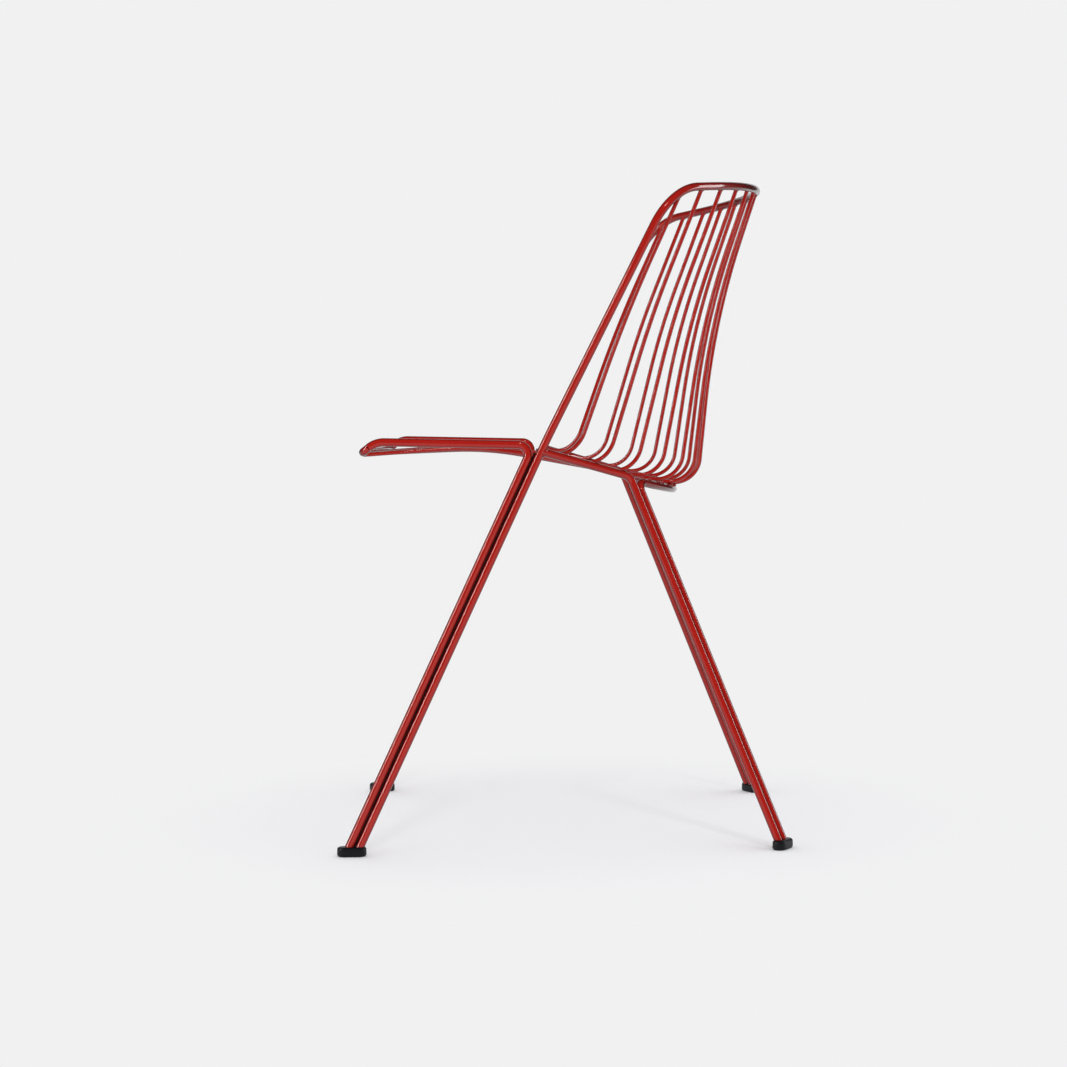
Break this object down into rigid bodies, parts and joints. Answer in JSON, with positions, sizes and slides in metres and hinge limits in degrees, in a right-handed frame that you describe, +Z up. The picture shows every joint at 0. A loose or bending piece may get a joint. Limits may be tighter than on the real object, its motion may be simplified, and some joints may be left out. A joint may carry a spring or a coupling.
{
  "type": "metal bistro chair",
  "caption": "Welded metal dining chair: bent round-rod frame in red paint, a fan of wires forming the seat and curved back, black foot glides.",
  "frame": {"origin": "on the floor, in the middle of the chair's footprint", "axes": "+Z is up, the sitter faces -Y, and +X is the sitter's left"},
  "size_m": [0.527, 0.5435, 0.8085],
  "materials": {
    "red_paint": "smooth glossy red paint over bent and welded round steel rod",
    "glide_plastic": "black moulded plastic with a soft satin surface"
  },
  "bodies": {
    "root": {"seat_frame": "red_paint", "back_frame": "red_paint", "rear_crossbar": "red_paint", "side_rail_left": "red_paint", "side_rail_right": "red_paint", "wire_left_1": "red_paint", "wire_right_1": "red_paint", "wire_left_2": "red_paint", "wire_right_2": "red_paint", "wire_left_3": "red_paint", "wire_right_3": "red_paint", "wire_left_4": "red_paint", "wire_right_4": "red_paint", "wire_left_5": "red_paint", "wire_right_5": "red_paint", "wire_left_6": "red_paint", "wire_right_6": "red_paint", "wire_left_7": "red_paint", "wire_right_7": "red_paint", "glide_front_left": "glide_plastic", "glide_front_right": "glide_plastic", "glide_rear_left": "glide_plastic", "glide_rear_right": "glide_plastic"}
  },
  "joints": []
}
